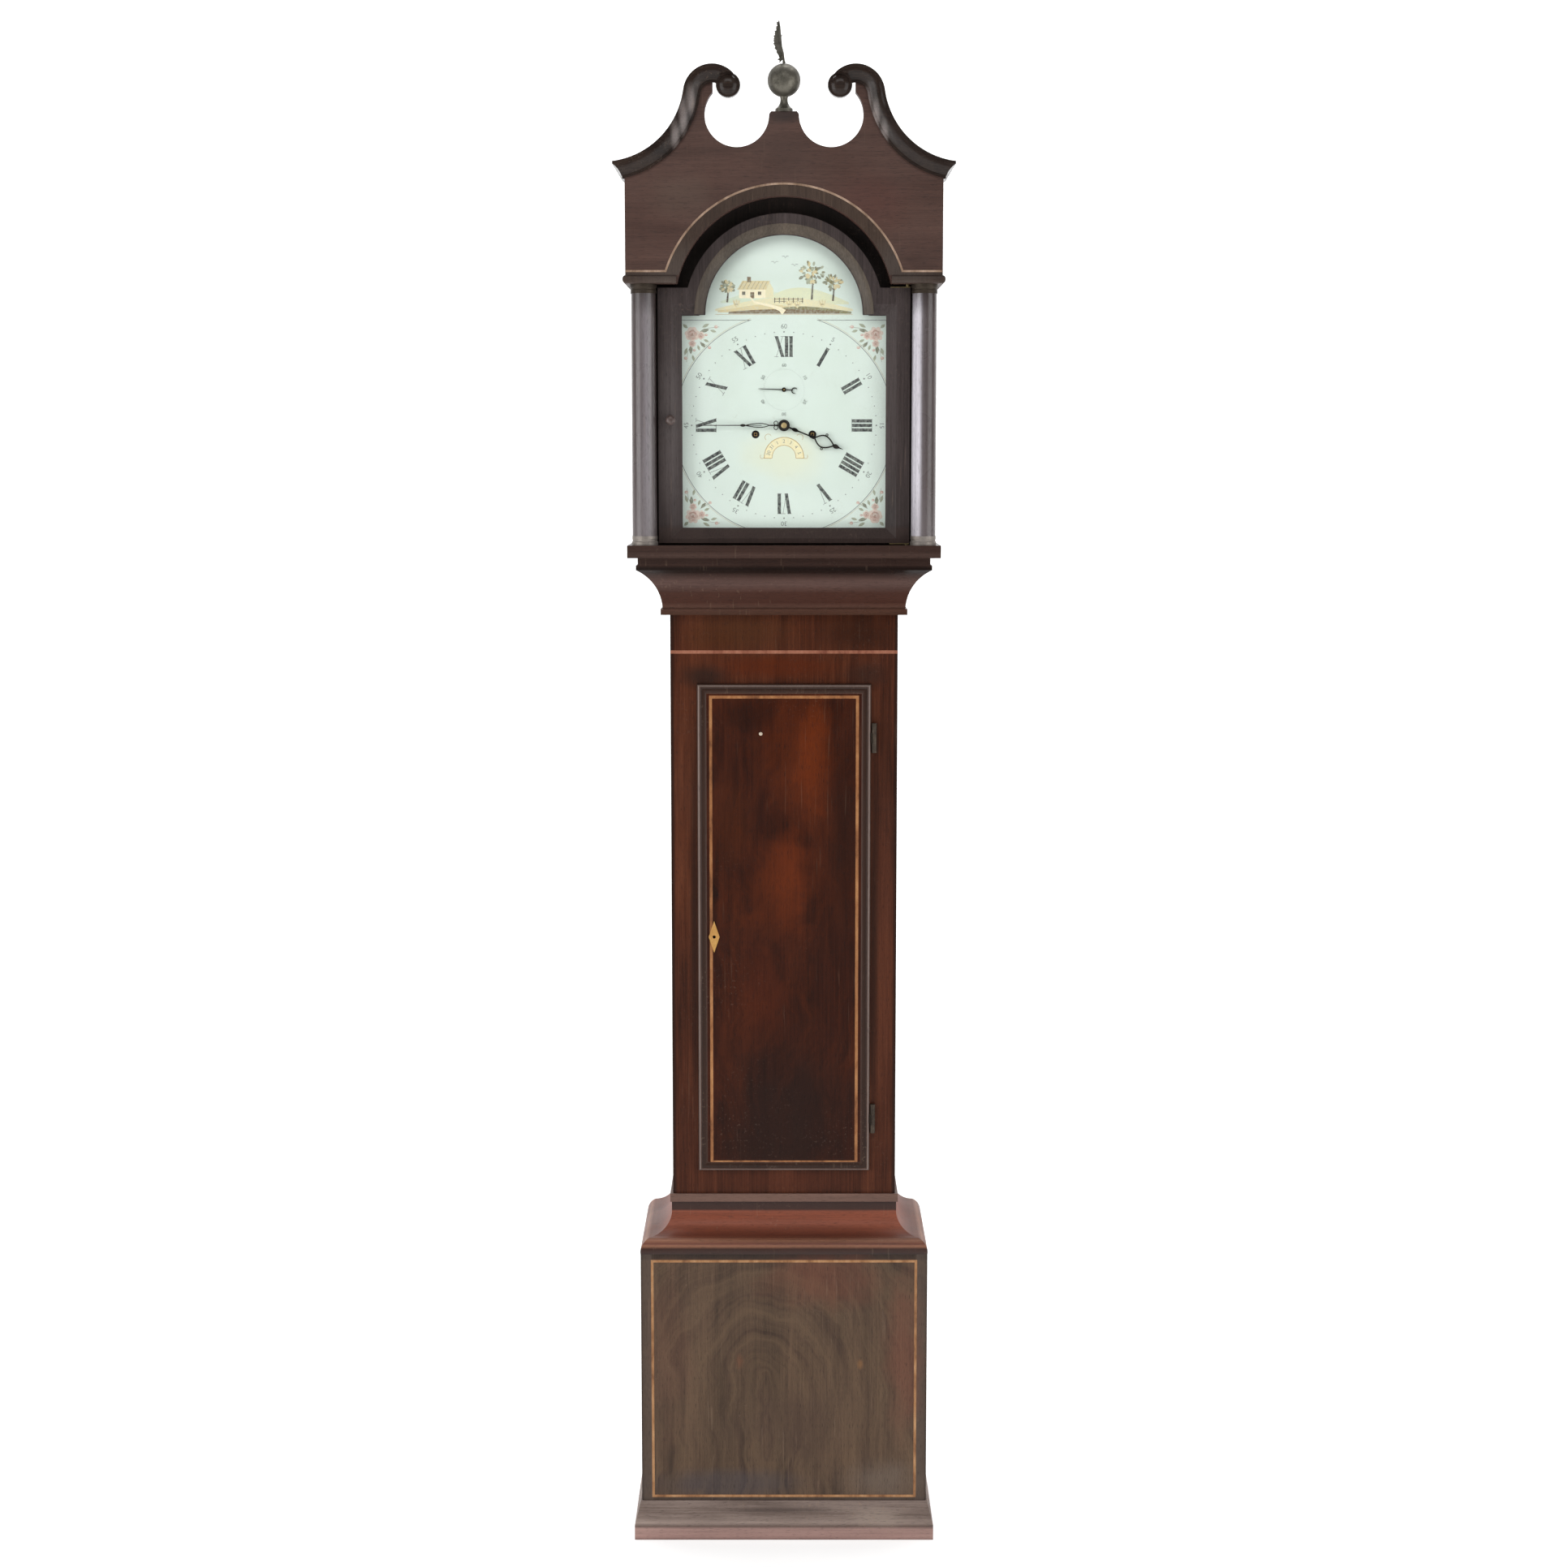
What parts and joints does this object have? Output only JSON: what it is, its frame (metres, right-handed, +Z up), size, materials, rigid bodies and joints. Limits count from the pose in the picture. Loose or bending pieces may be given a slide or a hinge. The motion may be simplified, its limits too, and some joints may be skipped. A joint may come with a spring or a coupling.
{
  "type": "longcase clock",
  "caption": "Mahogany longcase clock with swan-neck pediment, arched glazed hood door, painted dial, trunk door, weights, pendulum and working train.",
  "frame": {"origin": "on the floor below the middle of the clock's box", "axes": "+Z up, front of the clock towards -Y, +X to the viewer's right"},
  "size_m": [0.508, 0.272, 2.3445],
  "materials": {
    "case_mahogany": "old french polish, dark red-brown mahogany",
    "door_mahogany": "polished figured mahogany veneer",
    "dark_lip": "dark stained moulding, worn polish",
    "carcase_pine": "bare aged pine",
    "old_brass": "dull patinated brass",
    "clock_brass": "lacquered brass",
    "clock_steel": "polished steel",
    "painted_dial": "aged pale enamel paint with numerals",
    "hand_steel": "darkened stamped brass",
    "door_glass": "clear old sheet glass",
    "gut_line": "waxed gut",
    "cast_weight": "painted cast iron"
  },
  "bodies": {
    "case": {"backboard": "carcase_pine", "base_carcase": "carcase_pine", "base_front_panel": "case_mahogany", "plinth_moulding": "case_mahogany", "base_top_moulding": "case_mahogany", "trunk_sides": "case_mahogany", "trunk_front_frame": "case_mahogany", "throat_moulding": "case_mahogany", "trunk_hinge_case_leaves": "old_brass", "seatboard": "carcase_pine", "front_plate": "clock_brass", "back_plate": "clock_brass", "dial_plate": "painted_dial", "pendulum_cock": "clock_brass", "bell_and_stand": "clock_brass", "line_leads": "gut_line", "going_line": "gut_line", "strike_line": "gut_line"},
    "hood": {"hood_base_moulding": "case_mahogany", "hood_carcase": "case_mahogany", "hood_mask": "carcase_pine", "hood_tympanum": "case_mahogany", "pediment_mouldings": "case_mahogany", "scroll_bosses": "case_mahogany", "hood_columns": "case_mahogany", "column_brasses": "old_brass", "finial_ball": "old_brass", "finial_ornament": "old_brass"},
    "hood_door": {"hood_door_frame": "case_mahogany", "hood_door_glass": "door_glass", "hood_door_pivots": "old_brass", "hood_door_knob": "old_brass"},
    "trunk_door": {"trunk_door_panel": "door_mahogany", "trunk_door_moulding": "dark_lip", "trunk_door_lock": "clock_steel", "escutcheon": "old_brass", "trunk_hinge_door_leaves": "old_brass"},
    "lock_bolt": {"trunk_lock_bolt": "clock_steel"},
    "pendulum": {"pendulum_rod": "clock_steel", "pendulum_bob": "clock_brass"},
    "nut": {"rating_nut": "clock_brass"},
    "anchor": {"anchor_crutch": "clock_steel"},
    "going_drum": {"going_barrel": "clock_brass"},
    "great_wheel": {"going_great_wheel": "clock_brass"},
    "centre": {"centre_wheel": "clock_brass", "minute_hand": "hand_steel"},
    "third": {"third_wheel": "clock_brass"},
    "escape": {"escape_wheel": "clock_brass", "seconds_hand": "hand_steel"},
    "minute_work": {"minute_wheel": "clock_brass"},
    "hour_work": {"hour_wheel": "clock_brass", "hour_hand": "hand_steel"},
    "strike_drum": {"strike_barrel": "clock_brass"},
    "strike_great": {"strike_great_wheel": "clock_brass"},
    "lifting_wheel": {"pin_wheel": "clock_brass"},
    "bell_hammer": {"hammer": "clock_steel"},
    "going_lead": {"going_weight": "cast_weight"},
    "going_sheave": {"going_pulley": "clock_brass"},
    "strike_lead": {"strike_weight": "cast_weight"},
    "strike_sheave": {"strike_pulley": "clock_brass"}
  },
  "joints": [
    {"name": "hood_slide", "type": "slide", "parent": "case", "child": "hood", "axis": [0, -1, 0], "range_m": [0, 0.26]},
    {"name": "hood_door_hinge", "type": "hinge", "parent": "hood", "child": "hood_door", "pos_m": [0.186, -0.09, 1.572], "axis": [0, 0, 1], "range_deg": [0, 95]},
    {"name": "trunk_door_hinge", "type": "hinge", "parent": "case", "child": "trunk_door", "pos_m": [0.1395, -0.0535, 0.97], "axis": [0, 0, 1], "range_deg": [0, 110]},
    {"name": "lock_bolt_slide", "type": "slide", "parent": "trunk_door", "child": "lock_bolt", "axis": [-1, 0, 0], "range_m": [0, 0.006]},
    {"name": "pendulum_swing", "type": "hinge", "parent": "case", "child": "pendulum", "pos_m": [0, 0.075, 1.836], "axis": [0, 1, 0], "range_deg": [-3, 3]},
    {"name": "anchor_rock", "type": "hinge", "parent": "case", "child": "anchor", "pos_m": [0, 0, 1.836], "axis": [0, 1, 0], "range_deg": [-3, 3]},
    {"name": "rating_nut_turn", "type": "hinge", "parent": "pendulum", "child": "nut", "pos_m": [0, 0.075, 0.783], "axis": [0, 0, 1], "continuous": true},
    {"name": "going_weight_slide", "type": "slide", "parent": "case", "child": "going_lead", "axis": [0, 0, 1], "range_m": [0, 1.15], "deforming": ["going_line"]},
    {"name": "going_barrel_turn", "type": "hinge", "parent": "case", "child": "going_drum", "pos_m": [0.0433, 0, 1.7389], "axis": [0, 1, 0], "range_deg": [0, 5705.8]},
    {"name": "going_pulley_turn", "type": "hinge", "parent": "going_lead", "child": "going_sheave", "pos_m": [0.0433, 0.009, 0.457], "axis": [0, 1, 0], "range_deg": [0, 2853.4]},
    {"name": "strike_weight_slide", "type": "slide", "parent": "case", "child": "strike_lead", "axis": [0, 0, 1], "range_m": [0, 1.15], "deforming": ["strike_line"]},
    {"name": "strike_barrel_turn", "type": "hinge", "parent": "case", "child": "strike_drum", "pos_m": [-0.0433, 0, 1.7389], "axis": [0, 1, 0], "range_deg": [0, 5705.8]},
    {"name": "strike_pulley_turn", "type": "hinge", "parent": "strike_lead", "child": "strike_sheave", "pos_m": [-0.0433, 0.009, 0.457], "axis": [0, 1, 0], "range_deg": [0, 2853.4]},
    {"name": "centre_turn", "type": "hinge", "parent": "case", "child": "centre", "pos_m": [0, 0, 1.7524], "axis": [0, 1, 0], "continuous": true},
    {"name": "great_wheel_turn", "type": "hinge", "parent": "case", "child": "great_wheel", "pos_m": [0.0433, 0, 1.7389], "axis": [0, 1, 0], "continuous": true},
    {"name": "third_turn", "type": "hinge", "parent": "case", "child": "third", "pos_m": [0.0072, 0, 1.7804], "axis": [0, 1, 0], "continuous": true},
    {"name": "escape_turn", "type": "hinge", "parent": "case", "child": "escape", "pos_m": [0, 0, 1.8062], "axis": [0, 1, 0], "continuous": true},
    {"name": "minute_work_turn", "type": "hinge", "parent": "case", "child": "minute_work", "pos_m": [0, 0, 1.7184], "axis": [0, 1, 0], "continuous": true},
    {"name": "hour_turn", "type": "hinge", "parent": "case", "child": "hour_work", "pos_m": [0, 0, 1.7524], "axis": [0, 1, 0], "continuous": true},
    {"name": "strike_great_turn", "type": "hinge", "parent": "case", "child": "strike_great", "pos_m": [-0.0433, 0, 1.7389], "axis": [0, 1, 0], "continuous": true},
    {"name": "lifting_wheel_turn", "type": "hinge", "parent": "case", "child": "lifting_wheel", "pos_m": [-0.0498, 0, 1.7758], "axis": [0, 1, 0], "continuous": true},
    {"name": "hammer_lift", "type": "hinge", "parent": "case", "child": "bell_hammer", "pos_m": [-0.08, 0, 1.8124], "axis": [0, 1, 0], "range_deg": [-8, 0]}
  ],
  "couplings": [
    {"joint": "anchor_rock", "follows": "pendulum_swing", "ratio": 1},
    {"joint": "going_barrel_turn", "follows": "going_weight_slide", "rad_per_m": 86.58},
    {"joint": "going_pulley_turn", "follows": "going_weight_slide", "rad_per_m": 43.29},
    {"joint": "strike_barrel_turn", "follows": "strike_weight_slide", "rad_per_m": 86.58},
    {"joint": "strike_pulley_turn", "follows": "strike_weight_slide", "rad_per_m": 43.29},
    {"joint": "great_wheel_turn", "follows": "centre_turn", "ratio": -0.083333},
    {"joint": "third_turn", "follows": "centre_turn", "ratio": -7.5},
    {"joint": "escape_turn", "follows": "centre_turn", "ratio": 60},
    {"joint": "minute_work_turn", "follows": "centre_turn", "ratio": -1},
    {"joint": "hour_turn", "follows": "centre_turn", "ratio": 0.083333},
    {"joint": "lifting_wheel_turn", "follows": "strike_great_turn", "ratio": -9.75}
  ]
}
